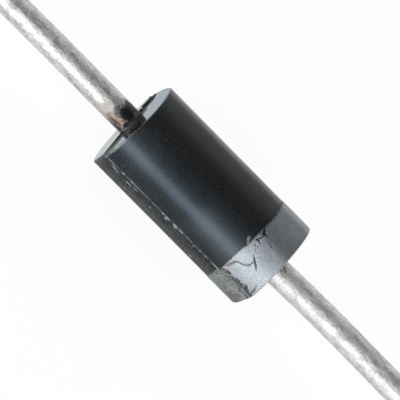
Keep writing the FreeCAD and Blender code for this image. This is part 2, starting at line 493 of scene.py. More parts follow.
epoxy = {
    "resin": [(0.0030, 0.0029, 0.0026), (0.0058, 0.0057, 0.0052)],
    "speck": (0.0165, 0.0167, 0.0170),
    "dust": (0.120, 0.130, 0.135),
    # lower half
    # darkest resin: the dark mottle, and the painted shadow beneath the parting line
    "darkMottleAndShade": (0.0020, 0.0020, 0.0017),
    "scuffed": [(0.014, 0.0165, 0.0175), (0.042, 0.047, 0.049)],
    "scuffSpeck": (0.125, 0.13, 0.125),
    "lowest": (0.058, 0.062, 0.063),
    "wornEnd": (0.115, 0.120, 0.122),
    # parting line and anode end
    "rubbed": (0.115, 0.12, 0.12),
    "scraped": (0.300, 0.330, 0.338),
    # pale rim: partly wear, partly a painted highlight
    "rimWearAndHighlight": [(0.29, 0.30, 0.295), (0.135, 0.120, 0.110)],
    "lip": (0.20, 0.215, 0.21),
    "torn": [(0.019, 0.018, 0.016), (0.06, 0.06, 0.06)],
    "ledge": [(0.026, 0.028, 0.027), (0.13, 0.135, 0.135)],
    "film": [(0.034, 0.033, 0.029), (0.085, 0.082, 0.075)],
    # tints of what the side mirrors, and of the film on the faces
    "shineMiddle": (0.41, 0.553, 0.665),
    "shineRight": (0.645, 0.832, 1.0),
    "shineLeft": (0.515, 0.682, 0.818),
    "shineFoot": [(0.23, 0.28, 0.315), (0.38, 0.45, 0.50)],
    # the second crown tint is a painted shade on the back of the top
    "shineCrownPaintedShade": [(0.42, 0.475, 0.53), (0.14, 0.165, 0.19)],
    "shineFace": [(0.36, 0.66, 0.98), (0.44, 0.76, 0.88)],
    "lineHeight": 0.030,      # where the rubbed flash is palest
}


def epoxyMaterial():
    made, shader, place = newMaterial("mouldedEpoxy")
    x, y, z = axesOf(place)
    flat = unrolled(place, body["radius"])
    fromAxis = calc("SQRT", calc("ADD", times(y, y), times(z, z)))
    lower = ramp(z, -0.03, 0.0, 1.0, 0.0)
    upper = without(lower)
    onFace = ramp(fromAxis, 1.30, 1.335, 1.0, 0.0)
    onSide = without(onFace)
    lowerSide = times(lower, onSide)
    nearFace = ramp(x, -2.50, -2.56)
    torn = measured(shader, "torn")
    blotch = noiseIn(place, 1.1, 4.0, 0.6)
    patches = noiseIn(place, 3.4, 3.0, 0.6)
    grain = noiseIn(place, 17.0, 3.0, 0.75)
    speck = noiseIn(place, 31.0, 2.0, 0.6)
    colour = mixColour(ramp(blotch, 0.35, 0.7), *epoxy["resin"])
    colour = mixColour(ramp(speck, 0.44, 0.70), colour, epoxy["speck"])
    # pale dust: thin at the top, thick low on the side and towards the anode
    dust = ramp(speck, 0.61, 0.69)
    dusty = calc("ADD", ramp(z, 0.9, 0.1, 0.03, 0.24), ramp(x, -0.6, -2.2, 0.0, 0.24))
    dusty = times(dust, dusty, ramp(patches, 0.36, 0.62, 0.25, 1.0))
    colour = mixColour(dusty, colour, epoxy["dust"])
    # lower half: scuffed and mottled
    mottle = noiseIn(stretched(place, (1.0, 1.4, 1.4)), 15.0, 4.0, 0.85)
    scuffed = mixColour(ramp(patches, 0.35, 0.62), *epoxy["scuffed"])
    scuffed = mixColour(ramp(mottle, 0.43, 0.62), epoxy["darkMottleAndShade"], scuffed)
    scuffed = mixColour(ramp(speck, 0.62, 0.70, 0.0, 0.8), scuffed, epoxy["scuffSpeck"])
    lowest = times(ramp(z, -0.24, -0.36), ramp(blotch, 0.35, 0.60, 0.1, 0.45))
    scuffed = mixColour(lowest, scuffed, epoxy["lowest"])
    # painted shadow: a dark strip just beneath the parting line; lower down, the side is darker towards the
    # bottom
    scuffed = mixColour(ramp(z, -0.14, -0.05, 0.0, 0.6), scuffed, epoxy["darkMottleAndShade"])
    scuffed = mixColour(ramp(z, -0.42, -0.60, 0.0, 0.55), scuffed, epoxy["darkMottleAndShade"])
    wornEnd = times(ramp(x, -2.50, -2.66), ramp(grain, 0.38, 0.56, 0.05, 0.85))
    scuffed = mixColour(wornEnd, scuffed, epoxy["wornEnd"])
    colour = mixColour(lowerSide, colour, scuffed)
    # rubbed flash along the parting line, and the scrapes
    fromLine = calc("ABSOLUTE", calc("SUBTRACT", z, epoxy["lineHeight"]))
    broken = noiseIn(stretched(place, (1.0, 0.1, 0.1)), 4.0, 5.0, 0.75)
    rubbed = times(ramp(fromLine, 0.016, 0.030, 1.0, 0.0), ramp(broken, 0.38, 0.62, 0.1, 0.55), onSide)
    colour = mixColour(rubbed, colour, epoxy["rubbed"])
    scraped = 0.0
    for along, turn, halfLength, halfWidth, paleness in scrapes:
        centre = (along, arcTo(turn, body["radius"]))
        mask = oval(flat, grain, centre, (halfLength, halfWidth), 0.0, 1.6, 0.6)
        scraped = largest(scraped, times(mask, paleness))
    scraped = times(scraped, onSide)
    colour = mixColour(scraped, colour, epoxy["scraped"])
    # pale rim of the upper half's anode end, most of it low at the front: partly wear, partly a painted
    # highlight
    rimWearAndHighlight = times(ramp(x, -2.51, -2.545), ramp(fromAxis, 1.285, 1.31), upper,
                    ramp(grain, 0.34, 0.54), ramp(z, 1.0, 0.6, 0.12, 0.95))
    colour = mixColour(rimWearAndHighlight, colour, mixColour(ramp(z, 0.38, 0.06), *epoxy["rimWearAndHighlight"]))
    # dull face over the ledge, then the torn places
    lip = times(ramp(z, 0.24, 0.06), ramp(z, -0.02, 0.01), onFace, nearFace,
                ramp(y, -0.40, -0.50, 0.0, 0.85))
    colour = mixColour(lip, colour, epoxy["lip"])
    colour = mixColour(torn, colour, mixColour(dust, *epoxy["torn"]))
    # the ledge that the slip leaves is duller the nearer it is to the rim
    ledge = times(ramp(calc("ABSOLUTE", z), 0.03, 0.05, 1.0, 0.0), nearFace, ramp(y, -0.36, -0.42))
    colour = mixColour(ledge, colour, mixColour(ramp(y, -0.45, -1.2), *epoxy["ledge"]))
    # resin bleed dulls the face round the anode wire
    bleed = ramp(stirred(fromAxis, patches, 0.5), 0.46, 0.60, 0.8, 0.0)
    bleed = times(bleed, ramp(x, -2.3, -2.5), upper)
    colour = mixColour(bleed, colour, mixColour(ramp(y, -0.30, -0.50), *epoxy["film"]))
    matt = largest(torn, ledge, bleed, lip)
    # handled ends shine more broadly than the middle
    left = ramp(x, -1.3, -1.9)
    right = ramp(x, -0.3, 0.5)
    rough = mixValue(left, mixValue(right, 0.25, 0.32), 0.28)
    rough = mixValue(lower, rough, 0.6)
    rough = calc("ADD", rough, ramp(blotch, 0.3, 0.7, -0.02, 0.03))
    rough = mixValue(largest(rubbed, scraped), rough, 0.6)
    rough = mixValue(onFace, rough, 0.08)
    rough = mixValue(matt, rough, 0.6)
    rugged = times(ramp(z, 0.75, 0.15, 0.0, 0.45), onSide, ramp(patches, 0.36, 0.60, 0.3, 1.0))
    rugged = largest(lowerSide, torn, rugged)
    normal = bumpOn(grain, mixValue(rugged, mixValue(onFace, 0.0022, 0.0003), 0.0050))
    normal = bumpOn(speck, mixValue(rugged, mixValue(onFace, 0.0016, 0.0), 0.0030), normal)
    # the flanks shine bluer than the crown, and the crown's tint darkens towards the back, a painted shade on
    # what it mirrors
    flank = times(ramp(z, 0.12, 0.45), ramp(z, 1.21, 0.88))
    shine = mixColour(right, epoxy["shineMiddle"], epoxy["shineRight"])
    shine = mixColour(left, shine, epoxy["shineLeft"])
    foot = mixColour(ramp(patches, 0.36, 0.60), *epoxy["shineFoot"])
    crown = mixColour(ramp(y, 0.25, 0.62), *epoxy["shineCrownPaintedShade"])
    tint = mixColour(flank, mixColour(ramp(z, 0.5, 0.9), foot, crown), shine)
    connect(shader, colour=colour, rough=rough, normal=normal, tint=tint,
            index=mixValue(times(lower, onFace), 1.62, 1.28),
            coat=times(onFace, without(matt), mixValue(lower, 0.25, 0.12)),
            coatTint=mixColour(ramp(y, -0.2, -0.7), *epoxy["shineFace"]), coatRough=0.05)
    return made


# band of silver ink. A stroke is a worn line: how worn, from 0 to 1, and points of (x, turn, half width)

band = {
    "thickness": 0.012,
    "under": 0.012,           # how far the mesh reaches under the body's surface
    "step": 0.0135,
    "start": 1.30,            # where the mesh begins, before the ink
    # (turn, x) of the front edge on the upper and on the lower half
    "front": [(0, 1.505), (8, 1.515), (19, 1.495), (29, 1.475), (38, 1.480), (47, 1.515), (56, 1.518),
              (74, 1.535), (84, 1.56), (95, 1.57), (106, 1.55), (180, 1.54)],
    "frontBelow": [(0, 1.475), (6, 1.490), (23, 1.505), (60, 1.495), (180, 1.475)],
    "frontSoftness": {1: 0.042, -1: 0.070},
    "edgeSoftness": 0.013,
    "softerAtTop": 0.065,     # added to the front's softness at the top
    "lift": 0.05,             # how much higher the ink stands beside a crack, as a share of its thickness
    "strokes": [
        # star at the front edge and its arms
        (1.0, [(1.45, 77.0, 0.006), (1.50, 75.0, 0.014), (1.558, 71.2, 0.030), (1.608, 68.6, 0.046),
               (1.70, 69.1, 0.022), (1.779, 69.3, 0.006)]),
        (1.0, [(1.60, 68.3, 0.026), (1.552, 66.5, 0.016), (1.518, 64.2, 0.008)]),
        (1.0, [(1.628, 67.9, 0.028), (1.621, 64.6, 0.020), (1.594, 60.1, 0.018), (1.567, 58.3, 0.022)]),
        (1.0, [(1.550, 58.3, 0.018), (1.567, 58.3, 0.024), (1.642, 59.0, 0.020), (1.705, 57.9, 0.010)]),
        (0.9, [(1.970, 64.2, 0.020), (1.980, 64.0, 0.020)]),
        (0.7, [(1.86, 68.0, 0.004), (1.92, 66.0, 0.006), (1.97, 64.2, 0.008)]),
        (0.9, [(1.715, 54.2, 0.018), (1.732, 53.4, 0.015)]),
        (0.9, [(1.636, 53.4, 0.018), (1.652, 52.4, 0.014)]),
        (0.8, [(1.703, 50.8, 0.010), (1.777, 48.6, 0.009)]),
        # split behind it, with its branch
        (1.0, [(1.770, 46.0, 0.005), (1.81, 44.1, 0.010), (1.908, 41.0, 0.019), (2.016, 38.3, 0.024),
               (2.10, 35.4, 0.018), (2.136, 34.2, 0.008)]),
        (0.8, [(1.958, 49.0, 0.007), (1.916, 45.9, 0.008), (1.87, 43.4, 0.006)]),
        # crack that runs down from it to the front edge
        (0.68, [(1.908, 41.0, 0.018), (1.915, 36.9, 0.026), (1.909, 33.7, 0.027), (1.884, 31.4, 0.032)]),
        (0.62, [(1.884, 31.4, 0.032), (1.792, 28.8, 0.028), (1.667, 26.7, 0.031), (1.591, 23.8, 0.038),
                (1.57, 18.7, 0.042), (1.55, 15.0, 0.040)]),
        (0.48, [(1.615, 24.5, 0.040), (1.575, 19.0, 0.070), (1.530, 13.5, 0.070)]),
        (0.7, [(1.884, 31.4, 0.012), (1.958, 31.9, 0.005)]),
        (0.7, [(1.824, 29.1, 0.010), (1.85, 25.2, 0.005)]),
        # crack from the rim to the gash
        (0.66, [(2.394, 24.7, 0.012), (2.458, 18.7, 0.028), (2.479, 13.9, 0.044), (2.49, 9.0, 0.036)]),
    ],
    # gash beside the parting line, as (x, turn)
    "gash": [(1.44, 5.9), (1.518, 5.0), (1.63, 5.4), (1.748, 6.3), (1.902, 5.0), (2.029, 5.2),
             (2.18, 4.9), (2.282, 6.6), (2.37, 5.6), (2.488, 5.4), (2.60, 5.0), (2.60, 9.5), (2.481, 9.2),
             (2.357, 12.0), (2.244, 14.4), (2.133, 11.8), (2.016, 11.8), (1.893, 9.6), (1.831, 9.0),
             (1.74, 11.3), (1.638, 9.7), (1.514, 8.0), (1.44, 7.3)],
    "gashWear": 0.79,
    # ink left before the front edge: (x, turn, radius)
    "flakes": [(1.396, 53.9, 0.016), (1.416, 51.7, 0.013), (1.466, 49.4, 0.013)],
    "creaseWidth": 0.05,      # how far the raised ink beside a crack reaches
}


def distanceToStroke(u, v, points):
    # distance from places (u, v) in millimetres to the edge of one stroke; below 0 is inside it
    nearest = np.full(u.shape, 9.0)
    places = [(x, arcTo(turn, body["radius"]), half) for x, turn, half in points]
    for start, stop in zip(places, places[1:]):
        away, share = toStretch(u, v, start, stop)
        nearest = np.minimum(nearest, away - start[2] - share * (stop[2] - start[2]))
    return nearest


def inkCover(points, turn, side):
    # how much of the ink is left at the points of one row, and how close each is to a worn line
    x = points[..., 0]
    arc = side * turn * body["radius"]
    front = np.interp(math.degrees(turn), *np.array(band["front" if side > 0 else "frontBelow"]).T)
    ragged = 0.008 * noiseAt(points, 22.0, 1.0) + 0.006 * noiseAt(points, 50.0, 4.0)
    fromFront = x - front + 0.006 * noiseAt(points, 3.0, 21.0) + ragged
    soft = band["frontSoftness"][side]
    if side > 0:
        for flakeX, flakeTurn, size in band["flakes"]:
            flake = size + ragged - np.hypot(x - flakeX, arc - arcTo(flakeTurn, body["radius"]))
            fromFront = np.maximum(fromFront, flake)
        soft += band["softerAtTop"] * math.sin(min(turn, math.pi / 2))
    cover = fade(fromFront, -soft, soft)
    near = np.full(x.shape, 9.0)
    for worn, stroke in band["strokes"]:
        distance = distanceToStroke(x, arc, stroke) + ragged
        near = np.minimum(near, distance)
        softness = band["edgeSoftness"] * (3 - 2 * worn)
        cover = np.minimum(cover, 1 - worn * (1 - fade(distance, -softness, softness)))
    corners = [(along, arcTo(gashTurn, body["radius"])) for along, gashTurn in band["gash"]]
    crumbled = 0.012 * noiseAt(points, 16.0, 41.0) + 0.010 * noiseAt(points, 38.0, 44.0)
    outside = -depthInside(x, arc, corners) + crumbled
    left = 1 - 0.35 * fade(noiseAt(points, 20.0, 47.0), 0.05, 0.40)      # islands of ink left in the gash
    gone = band["gashWear"] * left * (1 - fade(outside, -band["edgeSoftness"], band["edgeSoftness"]))
    near = np.maximum(np.minimum(near, outside), 0)
    return np.minimum(cover, 1 - gone), np.exp(-near / band["creaseWidth"])


def buildBand():
    edge = math.asin(body["flashThickness"] / 2 / body["radius"])
    turns = evenSteps(edge, math.pi - edge, band["step"] / body["radius"])
    shares = evenSteps(0, 1, band["step"] / (body["halfLength"] - band["start"]))
    angles = evenSteps(math.pi / 2, 0.15, math.pi / 20)[1:]
    flat = body["radius"] - body["rimRadius"]
    radius = np.concatenate([np.full(len(shares), body["radius"]), flat + body["rimRadius"] * np.sin(angles)])
    end = np.concatenate([np.zeros(len(shares)), np.ones(len(angles))])
    lean = np.concatenate([np.full(len(shares), math.pi / 2), angles])
    under = np.r_[0:len(shares) - 1:4, len(shares) - 1:len(radius)][::-1]     # the underside is coarser
    stations = [(turn, 1) for turn in turns] + [(turn, -1) for turn in turns[::-1]]
    rows = []
    covers = []
    for turn, side in stations:
        last = endPlane(body["radius"] * math.sin(turn)) - body["rimRadius"]
        along = np.concatenate([(band["start"] + (last - band["start"]) * shares) / last, angles])
        base = sideSurface(mouldedPoint(np.full(len(radius), turn), side, radius, end, along), side)
        outward = base * [0, 1, 1]
        outward *= (np.sin(lean) / np.linalg.norm(outward, axis=1))[:, None]
        outward[:, 0] = np.cos(lean)
        cover, crease = inkCover(base, turn, side)
        cover = cover * fade(lean, 0.2, 0.9)
        lift = band["lift"] * np.exp(-((1 - cover) / 0.08) ** 2) * crease
        thickness = 0.80 + 0.10 * noiseAt(base, 3.0, 9.0) + 0.10 * noiseAt(base, 14.0, 6.0) + lift
        height = band["thickness"] * np.minimum(thickness, 1) * cover
        height -= 0.6 * band["under"] * (1 - fade(cover, 0.0, 0.3))
        rows.append(np.vstack([base + outward * height[:, None], (base - outward * band["under"])[under]]))
        covers.append(np.concatenate([cover, cover[under]]))
    made = meshObject("cathode_ink_band", np.vstack(rows), closedGrid(len(rows), len(rows[0])))
    storeOnPoints(made, "inkCover", covers)
    return made


silverInk = {
    "bright": [(0.330, 0.366, 0.394), (0.408, 0.448, 0.478)],
    # painted highlight, blended in halfway up
    "paintedHighlight": (0.460, 0.500, 0.528),        # blended in halfway up
    # painted shade: the darker colours of the ink at the top
    "dull": [(0.198, 0.222, 0.240), (0.252, 0.280, 0.304)],
    "speck": (0.05, 0.055, 0.055),
    "pit": (0.105, 0.113, 0.117),
    "stained": [(0.100, 0.106, 0.104), (0.300, 0.318, 0.324)],
    "line": (0.03, 0.033, 0.035),
    "soiled": (0.06, 0.066, 0.060),
    "bare": (0.022, 0.020, 0.018),
}


def inkMaterial():
    made, shader, place = newMaterial("silverInk")
    x, y, z = axesOf(place)
    cloud = noiseIn(place, 3.0, 5.0, 0.65)
    blotch = noiseIn(place, 7.0, 4.0, 0.7)
    speck = noiseIn(place, 26.0, 3.0, 0.7)
    mottle = noiseIn(stretched(place, (0.9, 1.2, 1.2)), 12.0, 4.0, 0.85)
    clouded = ramp(cloud, 0.3, 0.7)
    # painted shade at the top of the band, where the ink turns to the dull colours, and a painted highlight
    # halfway up
    high = ramp(stirred(stirred(z, cloud, 0.20), speck, 0.10), 1.18, 1.28)
    bright = mixColour(clouded, *silverInk["bright"])
    bright = mixColour(ramp(z, 0.60, 0.85, 0.0, 0.4), bright, silverInk["paintedHighlight"])
    colour = mixColour(high, bright, mixColour(clouded, *silverInk["dull"]))
    colour = mixColour(ramp(speck, 0.38, 0.62, 0.32, 0.0), colour, silverInk["speck"])
    # small dark pits, most of them at mid height
    pits = times(ramp(speck, 0.54, 0.66), ramp(blotch, 0.46, 0.60), ramp(z, 1.30, 1.12),
                 ramp(z, 0.3, 0.8, 0.4, 0.9))
    colour = mixColour(pits, colour, silverInk["pit"])
    # below the gash the ink is thin and stained
    lower = ramp(stirred(z, blotch, 0.12), 0.13, 0.18, 1.0, 0.0)
    stained = mixColour(ramp(mottle, 0.38, 0.60), *silverInk["stained"])
    stained = mixColour(ramp(z, -0.01, 0.03, 0.0, 0.30), stained, silverInk["line"])
    soiled = times(ramp(z, -0.15, -0.45), ramp(x, 1.8, 2.3, 0.15, 0.5))
    stained = mixColour(soiled, stained, silverInk["soiled"])
    colour = mixColour(lower, colour, stained)
    covered = ramp(stirred(measured(shader, "inkCover"), speck, 0.5), 0.18, 0.72)
    colour = mixColour(covered, silverInk["bare"], colour)
    rough = mixValue(high, ramp(cloud, 0.3, 0.7, 0.53, 0.58), 0.49)
    rough = mixValue(lower, rough, 0.6)
    normal = bumpOn(speck, mixValue(lower, 0.0036, 0.0065))
    normal = bumpOn(blotch, 0.005, normal)
    connect(shader, colour=colour, rough=rough, normal=normal, metal=times(covered, 0.85))
    return made


# leads: a profile of rings swept along a slightly bowed line by Geometry Nodes

wire = {
    "ringSides": 72,
    "nearStep": 0.05,         # between rings near the body
    "farStep": 0.25,
    "nearLength": 5.5,
    "dent": 0.0035,           # depth of the handling marks
    "dentScale": 2600.0,      # per metre
}
# how far each wire strays across the view, as (distance from the middle, offset)
bow = {
    "anode": [(4.2, 0.0), (5.4, -0.002), (6.6, -0.012), (9.0, -0.03), (28.0, 0.0)],
    "cathode": [(2.6, -0.010), (3.7, 0.024), (4.8, 0.040), (5.6, 0.036), (6.9, 0.024), (9.0, -0.01),
                (28.0, 0.0)],
}
viewTilt = math.radians(8.15)      # how far the camera looks at the anode end
viewRise = math.radians(50.0)      # the camera's height above the floor
viewTurn = math.radians(45.3)      # slope of the leads in the picture
acrossView = Vector((0, math.sin(viewRise), math.cos(viewRise)))


def leadStations():
    profile = [(lead["headFace"], 0.02), (lead["headFace"] + 0.004, lead["headRadius"])] + buriedProfile()
    near = evenSteps(body["halfLength"], body["halfLength"] + wire["nearLength"], wire["nearStep"])
    far = evenSteps(near[-1], lead["end"] - lead["endChamfer"], wire["farStep"])[1:]
    profile += [(x, lead["radius"]) for x in np.concatenate([near, far])]
    return profile + [(lead["end"], lead["radius"] - lead["endChamfer"])]


# stains at the wires' roots, painted in this order:
# (x, turn, half length, half width, slant, raggedness, colour, roughness, metallic)
wireStains = [
    # dull flux film, and a drop of flux with a painted highlight as a pale arc on its upper right
    (-3.08, 2.0, 0.42, 0.22, 0, 1.2, (0.38, 0.355, 0.335), 0.5, 0.15),
    (-3.20, 30.0, 0.14, 0.14, 0, 1.0, (0.36, 0.345, 0.33), 0.5, 0.1),
    (-3.30, 62.0, 0.10, 0.08, 0, 1.0, (0.30, 0.30, 0.29), 0.5, 0.6),
    # painted highlight: this pale oval shows only as an arc beside the drop painted over it
    (-3.385, 29.0, 0.140, 0.156, 0, 0.3, (0.58, 0.57, 0.53), 0.45, 0.2),
    (-3.394, 23.5, 0.130, 0.150, 0, 0.3, (0.48, 0.435, 0.41), 0.5, 0.0),
    (-2.74, 12.0, 0.12, 0.13, 0, 0.8, (0.19, 0.160, 0.145), 0.5, 0.0),
    # resin bleed, darkest in the middle
    (-3.00, 10.0, 0.22, 0.16, 0, 1.0, (0.25, 0.225, 0.205), 0.5, 0.0),
    (-3.11, 52.0, 0.12, 0.12, 0, 0.8, (0.105, 0.102, 0.094), 0.5, 0.0),
    (-2.84, 76.0, 0.31, 0.27, 0, 0.7, (0.040, 0.040, 0.032), 0.5, 0.0),
    (-2.76, 50.0, 0.22, 0.16, 0, 0.8, (0.044, 0.038, 0.030), 0.5, 0.0),
    (-2.92, 106.0, 0.24, 0.10, 0, 0.4, (0.060, 0.060, 0.055), 0.5, 0.0),
    (-3.05, 40.0, 0.14, 0.09, 0, 0.8, (0.115, 0.105, 0.095), 0.5, 0.0),
    (-2.86, 65.0, 0.22, 0.175, -12, 0.6, (0.005, 0.005, 0.003), 0.4, 0.0),
    (-2.66, 74.0, 0.06, 0.13, 20, 1.2, (0.030, 0.028, 0.022), 0.5, 0.0),
    # bare copper
    (-3.03, 20.0, 0.17, 0.050, 0, 0.8, (0.36, 0.29, 0.25), 0.5, 0.1),
    (-2.865, 24.0, 0.100, 0.085, 20, 0.8, (0.42, 0.275, 0.240), 0.45, 0.1),
    (-2.80, 38.0, 0.085, 0.035, 40, 0.8, (0.16, 0.11, 0.092), 0.45, 0.1),
    (-2.77, 11.0, 0.080, 0.045, -20, 0.8, (0.26, 0.20, 0.18), 0.45, 0.1),
    # brown streak and lower edge
    (-2.95, 6.0, 0.155, 0.055, 4, 0.8, (0.085, 0.054, 0.047), 0.5, 0.0),
    (-2.86, -14.0, 0.25, 0.085, 0, 0.8, (0.115, 0.105, 0.095), 0.5, 0.0),
    (-2.78, -8.0, 0.13, 0.055, 0, 0.8, (0.034, 0.030, 0.026), 0.5, 0.0),
    # where the wire meets the face
    (-2.59, 20.0, 0.085, 0.46, 0, 1.2, (0.062, 0.059, 0.048), 0.5, 0.0),
    (-2.65, 108.0, 0.110, 0.100, 0, 0.8, (0.115, 0.115, 0.095), 0.5, 0.0),
    (-2.690, 95.0, 0.070, 0.090, 0, 1.0, (0.125, 0.120, 0.085), 0.5, 0.0),
    (-2.60, 82.0, 0.060, 0.080, 0, 1.0, (0.062, 0.060, 0.048), 0.5, 0.0),
    (-2.705, 31.0, 0.065, 0.090, 0, 0.8, (0.006, 0.004, 0.003), 0.5, 0.0),
    (-2.636, 9.0, 0.022, 0.12, 0, 0.8, (0.170, 0.170, 0.155), 0.5, 0.0),
    (-2.58, 160.0, 0.14, 0.50, 0, 0.8, (0.030, 0.028, 0.022), 0.5, 0.0),
    (-2.58, -120.0, 0.14, 0.50, 0, 0.8, (0.030, 0.028, 0.022), 0.5, 0.0),
    # cathode wire
    (2.78, 76.0, 0.12, 0.035, -35, 1.2, (0.20, 0.20, 0.165), 0.5, 0.6),
    (2.73, 64.0, 0.05, 0.040, 0, 1.2, (0.30, 0.30, 0.24), 0.5, 0.6),
    (2.68, 92.0, 0.05, 0.030, 0, 1.2, (0.22, 0.22, 0.18), 0.5, 0.6),
]


def wireTree(material):
    tree = bpy.data.node_groups.new("sweptWire", "GeometryNodeTree")
    tree.interface.new_socket("Geometry", in_out="OUTPUT", socket_type="NodeSocketGeometry")
    for name, kind in (("Geometry", "Geometry"), ("Ring Sides", "Int"), ("Dent Depth", "Float"),
                       ("Dent Scale", "Float")):
        tree.interface.new_socket(name, in_out="INPUT", socket_type="NodeSocket" + kind)
    given = tree.nodes.new("NodeGroupInput").outputs
    line = addNode(tree, "GeometryNodeMeshToCurve", {"Mesh": given["Geometry"]}).outputs[0]
    ring = {"Resolution": given["Ring Sides"], "Radius": 1.0}
    ring = addNode(tree, "GeometryNodeCurvePrimitiveCircle", ring).outputs[0]
    size = addNode(tree, "GeometryNodeInputNamedAttribute", {"Name": "ringRadius"}, data_type="FLOAT")
    swept = {"Curve": line, "Profile Curve": ring, "Scale": size.outputs[0], "Fill Caps": True}
    swept = addNode(tree, "GeometryNodeCurveToMesh", swept).outputs[0]
    position = tree.nodes.new("GeometryNodeInputPosition").outputs[0]
    normal = tree.nodes.new("GeometryNodeInputNormal").outputs[0]
    marks = {"Vector": position, "Scale": given["Dent Scale"], "Detail": 3.0, "Roughness": 0.6}
    marks = addNode(tree, "ShaderNodeTexNoise", marks).outputs[0]
    marks = calc("MINIMUM", calc("SUBTRACT", marks, 0.62), 0.0)
    offset = {0: normal, "Scale": times(marks, given["Dent Depth"])}
    offset = addNode(tree, "ShaderNodeVectorMath", offset, operation="SCALE").outputs[0]
    dented = addNode(tree, "GeometryNodeSetPosition", {"Geometry": swept, "Offset": offset}).outputs[0]
    smooth = addNode(tree, "GeometryNodeSetShadeSmooth", {"Geometry": dented}).outputs[0]
    real = addNode(tree, "GeometryNodeRealizeInstances", {0: smooth}).outputs[0]
    painted = addNode(tree, "GeometryNodeSetMaterial", {"Geometry": real, "Material": material}).outputs[0]
    addNode(tree, "NodeGroupOutput", {0: painted})
    return tree


def setInput(modifier, name, value):
    for item in modifier.node_group.interface.items_tree:
        if item.item_type == "SOCKET" and item.in_out == "INPUT" and item.name == name:
            modifier[item.identifier] = value


def buildLead(name, direction, bowPoints, tree):
    reach, radius = np.array(leadStations()).T
    sag = np.interp(reach, *np.array(bowPoints).T)
    points = np.stack([direction * reach, sag * acrossView.y, sag * acrossView.z], -1)
    mesh = bpy.data.meshes.new(name + "_line")
    links = [(i, i + 1) for i in range(len(points) - 1)]
    mesh.from_pydata([tuple(point) for point in points * mm], links, [])
    mesh.attributes.new("ringRadius", "FLOAT", "POINT").data.foreach_set("value", (radius * mm).tolist())
    line = bpy.data.objects.new(name + "_line", mesh)
    bpy.context.scene.collection.objects.link(line)
    modifier = line.modifiers.new("sweptWire", "NODES")
    modifier.node_group = tree
    setInput(modifier, "Ring Sides", wire["ringSides"])
    setInput(modifier, "Dent Depth", wire["dent"] * mm)
    setInput(modifier, "Dent Scale", wire["dentScale"])
    swept = bpy.data.meshes.new_from_object(line.evaluated_get(bpy.context.evaluated_depsgraph_get()))
    bpy.data.objects.remove(line)
    made = bpy.data.objects.new(name, swept)
    bpy.context.scene.collection.objects.link(made)
    return made


tin = {
    "plain": [(0.67, 0.67, 0.655), (0.75, 0.755, 0.75)],
    # painted light on the top of the wires
    "paintedLightOnTop": (0.90, 0.905, 0.885),
    # painted shade on the cathode wire's front
    "front": (0.50, 0.51, 0.51),
    "dull": (0.36, 0.375, 0.38),
    "lump": (0.47, 0.475, 0.45),
    "grime": (0.10, 0.10, 0.095),
    "blackest": 0.05,         # a darker stain than this dims the shine too
}


def tinMaterial():
    made, shader, place = newMaterial("tinnedCopper")
    x, y, z = axesOf(place)
    flat = unrolled(place, lead["radius"])
    cloud = noiseIn(stretched(place, (0.8, 1.5, 1.5)), 2.2, 5.0, 0.65)
    lumps = noiseIn(stretched(place, (0.55, 1.0, 1.0)), 7.0, 4.0, 0.65, 0.4)
    grain = noiseIn(place, 20.0, 3.0, 0.75)
    # fine scratches that wind round the wire
    scratches = noiseIn(stretched(flat, (3.0, 26.0, 1.0), -38), 1.0, 3.0, 0.7)
    scratches = times(scratches, ramp(cloud, 0.42, 0.60))
    colour = mixColour(ramp(cloud, 0.3, 0.7), *tin["plain"])
    # painted light: both wires are lighter on top, and the anode wire on its upper side too; the anode wire
    # is duller near the body
    onCathode = ramp(x, -1.0, 1.0)
    onAnode = without(onCathode)
    top = ramp(y, -0.03, 0.13)
    above = ramp(y, -0.24, -0.12, 0.0, 0.40)
    paintedLightOnTop = mixValue(onCathode, largest(above, times(top, 0.60)), top)
    colour = mixColour(paintedLightOnTop, colour, tin["paintedLightOnTop"])
    # painted shade: the cathode wire is darker at its front
    front = times(onCathode, ramp(y, -0.10, -0.30, 0.16, 0.46))
    colour = mixColour(front, colour, tin["front"])
    dull = times(onAnode, ramp(x, -4.8, -4.3, 0.0, 0.25), ramp(y, 0.10, 0.0))
    colour = mixColour(dull, colour, tin["dull"])
    lumpy = times(ramp(lumps, 0.44, 0.64), mixValue(top, 1.0, 0.7))
    colour = mixColour(lumpy, colour, tin["lump"])
    grime = times(ramp(grain, 0.40, 0.66), mixValue(onCathode, 0.40, 0.26),
                  mixValue(top, 1.0, 0.6))
    colour = mixColour(grime, colour, tin["grime"])
    rough = calc("ADD", ramp(cloud, 0.3, 0.7, 0.46, 0.38), times(onCathode, 0.10))
    normal = bumpOn(lumps, mixValue(top, 0.018, 0.012))
    normal = bumpOn(grain, mixValue(top, 0.0052, 0.0030), normal)
    normal = bumpOn(scratches, 0.0050, normal)
    metal = 1.0
    sheen = 1.0
    stained = 0.0
    frayed = noiseIn(place, 12.0, 3.0, 0.6)
    for along, turn, halfLength, halfWidth, slant, ragged, stain, roughness, metalness in wireStains:
        centre = (along, arcTo(turn, lead["radius"]))
        mask = oval(flat, frayed, centre, (halfLength, halfWidth), slant, ragged, 0.34)
        stained = largest(stained, mask)
        colour = mixColour(mask, colour, stain)
        rough = mixValue(mask, rough, roughness)
        metal = mixValue(mask, metal, metalness)
        if max(stain) < tin["blackest"]:
            sheen = mixValue(mask, sheen, 0.5)
    # the anode wire's stains are mottled
    mottled = ramp(noiseIn(place, 15.0, 4.0, 0.8), 0.38, 0.62, 0.66, 1.34)
    mottling = times(stained, onAnode, ramp(x, -3.30, -3.18, 0.25, 1.0))
    colour = mixColour(mottling, colour, mottled, "MULTIPLY")
    connect(shader, colour=colour, rough=rough, normal=normal, metal=metal, tint=sheen)
    return made


# inner pieces keep their CAD meshes


